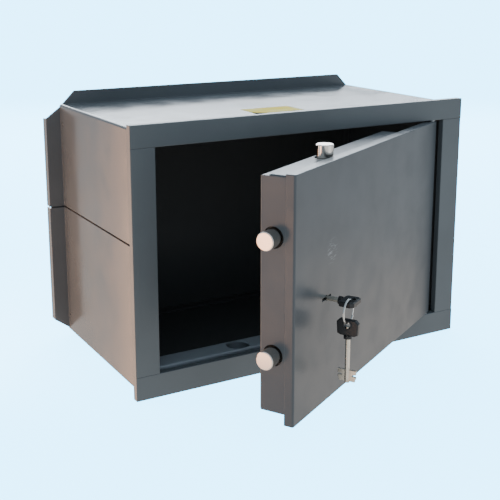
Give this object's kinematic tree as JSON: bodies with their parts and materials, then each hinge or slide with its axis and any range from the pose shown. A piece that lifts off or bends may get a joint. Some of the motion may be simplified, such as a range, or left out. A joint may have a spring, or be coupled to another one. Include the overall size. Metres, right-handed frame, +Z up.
{
  "type": "wall safe",
  "caption": "Recessed steel wall safe with a pin-hung door, round bolts thrown by a double-bitted key, and a spare key on a ring.",
  "frame": {"origin": "middle of the wall recess, on the wall's face, which is the back of the front frame", "axes": "+Y into the wall, +Z up, +X to the right seen from the front"},
  "size_m": [0.464, 0.4277, 0.3102],
  "materials": {
    "dark_paint": "semi-gloss anthracite paint",
    "bright_steel": "bright nickel plate",
    "zinc_steel": "zinc plate",
    "hard_steel": "dark hardened steel",
    "brass": "milled brass",
    "nickel": "nickel plate",
    "bow_plastic": "black moulded plastic",
    "label_paper": "matt yellow label"
  },
  "bodies": {
    "cabinet": {"frame_top_rail": "dark_paint", "frame_bottom_rail": "dark_paint", "frame_left_stile": "dark_paint", "frame_right_stile": "dark_paint", "upper_shell": "dark_paint", "lower_shell": "dark_paint", "seam_strip_left": "dark_paint", "seam_strip_right": "dark_paint", "flange_strip_left": "dark_paint", "flange_strip_right": "dark_paint", "back_panel": "dark_paint", "keeper_bottom": "dark_paint", "keeper_top": "dark_paint", "hinge_jamb": "dark_paint", "hinge_washer_bottom": "zinc_steel", "hinge_washer_top": "zinc_steel", "roof_label": "label_paper"},
    "door": {"door_plate": "dark_paint", "hinge_pin_top": "zinc_steel", "hinge_pin_bottom": "zinc_steel", "door_tray": "dark_paint", "tray_posts": "zinc_steel", "tray_screws": "zinc_steel", "bolt_guide_upper": "zinc_steel", "bolt_guide_lower": "zinc_steel", "bolt_guide_top": "zinc_steel", "bolt_guide_bottom": "zinc_steel", "carriage_studs": "zinc_steel", "hard_plate": "hard_steel", "lock_case": "zinc_steel", "lock_cover": "zinc_steel", "lock_screws": "zinc_steel", "lever_post": "zinc_steel"},
    "carriage": {"side_bolt_upper": "bright_steel", "side_bolt_lower": "bright_steel", "carriage_plate": "zinc_steel", "lock_bolt": "zinc_steel", "carriage_screws": "zinc_steel"},
    "top_bolt": {"top_bolt": "bright_steel", "top_rod": "zinc_steel"},
    "bottom_bolt": {"bottom_bolt": "bright_steel", "bottom_rod": "zinc_steel"},
    "curtain": {"key_curtain": "brass"},
    "levers": {"lever_pack": "brass"},
    "key": {"key_blade": "nickel", "key_bow": "bow_plastic"},
    "ring": {"key_ring": "nickel"},
    "spare_key": {"spare_key_blade": "nickel", "spare_key_bow": "bow_plastic"}
  },
  "joints": [
    {"name": "door_swing", "type": "hinge", "parent": "cabinet", "child": "door", "pos_m": [0.178, -0.0038, 0], "axis": [0, 0, 1], "range_deg": [-30, 80]},
    {"name": "curtain_turn", "type": "hinge", "parent": "door", "child": "curtain", "pos_m": [-0.07884, -0.15694, -0.0114], "axis": [-0.5, 0.866, 0], "range_deg": [0, 360]},
    {"name": "key_withdraw", "type": "slide", "parent": "curtain", "child": "key", "axis": [0.5, -0.866, 0], "range_m": [0, 0.06]},
    {"name": "ring_slip", "type": "hinge", "parent": "key", "child": "ring", "pos_m": [-0.07242, -0.18487, -0.0179], "axis": [-0.5, 0.866, 0], "range_deg": [-25, 70]},
    {"name": "spare_swing", "type": "hinge", "parent": "ring", "child": "spare_key", "pos_m": [-0.07242, -0.18487, -0.0293], "axis": [0.866, 0.5, 0], "range_deg": [-30, 13]},
    {"name": "carriage_slide", "type": "slide", "parent": "door", "child": "carriage", "axis": [0.866, 0.5, 0], "range_m": [0, 0.016]},
    {"name": "top_bolt_slide", "type": "slide", "parent": "door", "child": "top_bolt", "axis": [0, 0, -1], "range_m": [0, 0.016]},
    {"name": "bottom_bolt_slide", "type": "slide", "parent": "door", "child": "bottom_bolt", "axis": [0, 0, 1], "range_m": [0, 0.016]},
    {"name": "lever_lift", "type": "hinge", "parent": "door", "child": "levers", "pos_m": [-0.08784, -0.14135, 0.0361], "axis": [-0.5, 0.866, 0], "range_deg": [0, 3], "stiffness_Nm_per_rad": 0.05, "springref_deg": -5.73}
  ],
  "couplings": [
    {"joint": "curtain_turn", "follows": "carriage_slide", "rad_per_m": 392.7},
    {"joint": "top_bolt_slide", "follows": "carriage_slide", "ratio": 1},
    {"joint": "bottom_bolt_slide", "follows": "carriage_slide", "ratio": 1}
  ]
}
